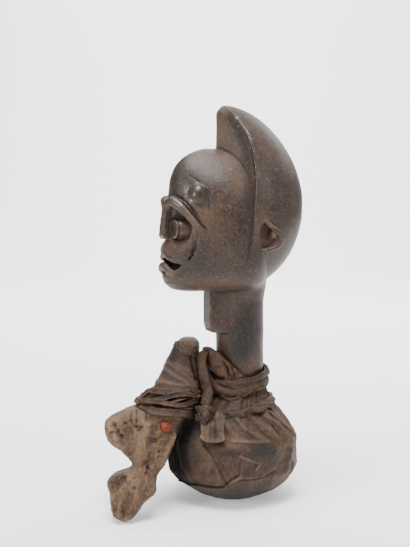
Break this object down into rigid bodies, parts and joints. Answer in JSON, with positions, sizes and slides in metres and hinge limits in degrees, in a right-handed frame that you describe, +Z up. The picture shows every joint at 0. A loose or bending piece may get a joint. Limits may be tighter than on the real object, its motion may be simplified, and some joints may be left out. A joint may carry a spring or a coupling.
{
  "type": "fang reliquary head",
  "caption": "Carved wooden guardian head with a crested helmet and long neck, standing in a tied bundle of dried hide, with a hide-wrapped bone relic bound in front.",
  "frame": {"origin": "on the flat underside of the hide bundle, straight below the middle of the neck", "axes": "+Z up along the neck, the face looks along -Y, and +X is the figure's left"},
  "size_m": [0.0928, 0.1549, 0.2815],
  "materials": {
    "carved_wood": "satin",
    "bundle_hide": "satin",
    "wrap_hide": "matte",
    "strip_leather": "matte",
    "old_bone": "matte",
    "red_resin": "gloss"
  },
  "bodies": {
    "root": {"carved_head": "carved_wood", "hide_bundle": "bundle_hide", "neck_strap_upper": "strip_leather", "neck_strap_middle": "strip_leather", "shoulder_strap": "strip_leather", "bone_relic": "old_bone", "relic_wrap": "wrap_hide", "relic_binding_upper": "strip_leather", "relic_binding_lower": "strip_leather", "sling_strap": "strip_leather", "knot": "strip_leather", "strap_end": "wrap_hide", "red_drop": "red_resin"}
  },
  "joints": []
}
